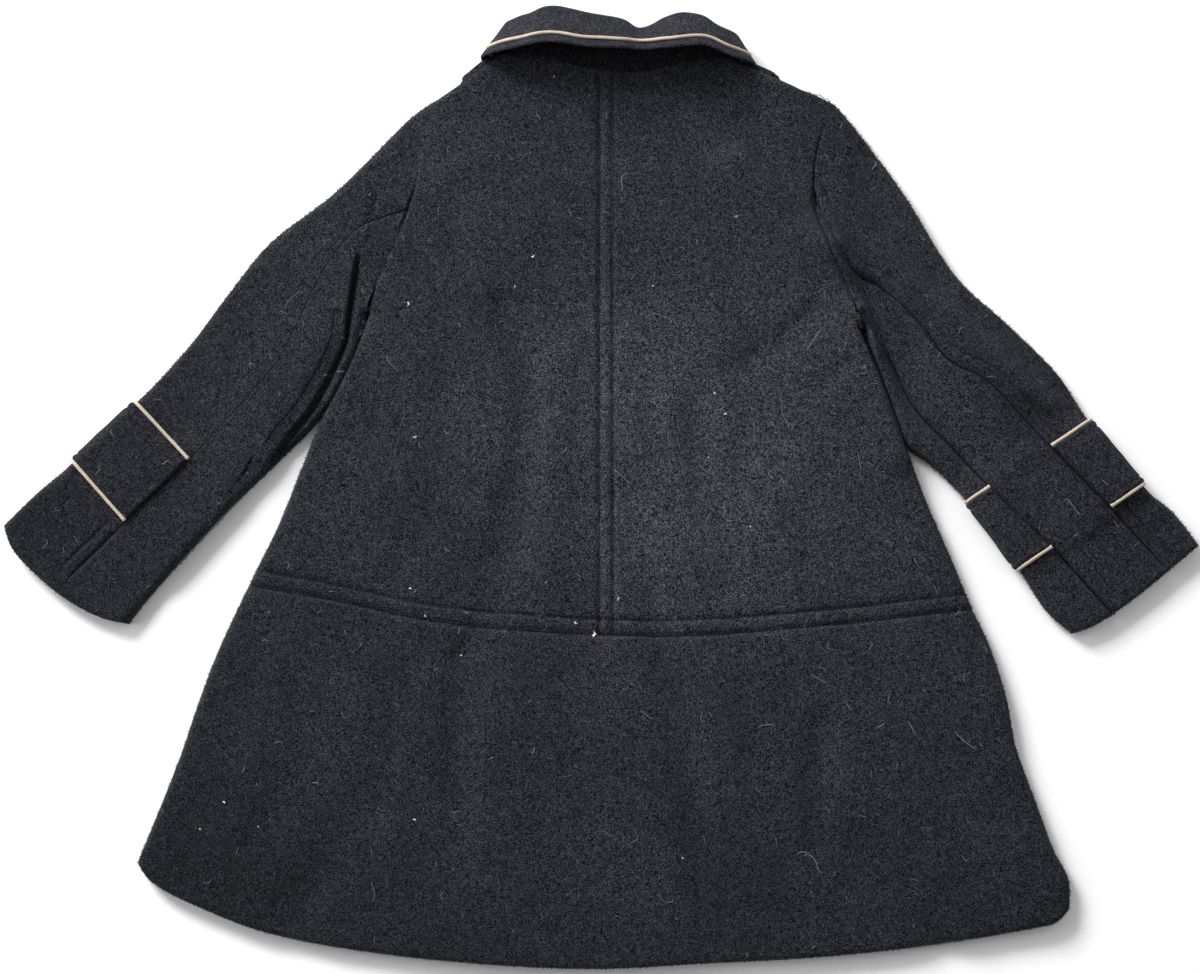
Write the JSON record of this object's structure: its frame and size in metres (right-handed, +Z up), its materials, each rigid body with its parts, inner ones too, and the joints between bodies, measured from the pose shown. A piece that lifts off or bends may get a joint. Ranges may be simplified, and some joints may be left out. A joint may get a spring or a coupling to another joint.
{
  "type": "coat",
  "caption": "child's A-line fleece coat laid face down, with a dropped waist seam, roll collar and cuff bands, all piped",
  "frame": {"origin": "middle of the laid-out coat at the surface it lies on, under its bounding box's centre", "axes": "+X toward the wearer's right sleeve, +Y toward the collar, +Z up from the surface; the back is on top"},
  "size_m": [0.7365, 0.5953, 0.0409],
  "materials": {
    "fleece": "napped",
    "piping": "woven"
  },
  "bodies": {
    "root": {"back_left": "fleece", "back_right": "fleece", "front_left": "fleece", "front_right": "fleece", "back_skirt": "fleece", "front_skirt_left": "fleece", "front_skirt_right": "fleece", "sleeve_left_upper": "fleece", "sleeve_left_under": "fleece", "cuff_band_left": "fleece", "cuff_piping_left_lower": "piping", "cuff_piping_left_upper": "piping", "sleeve_right_upper": "fleece", "sleeve_right_under": "fleece", "cuff_band_right": "fleece", "cuff_piping_right_lower": "piping", "cuff_piping_right_upper": "piping", "collar": "fleece", "collar_edge": "fleece", "collar_piping": "piping"}
  },
  "joints": []
}
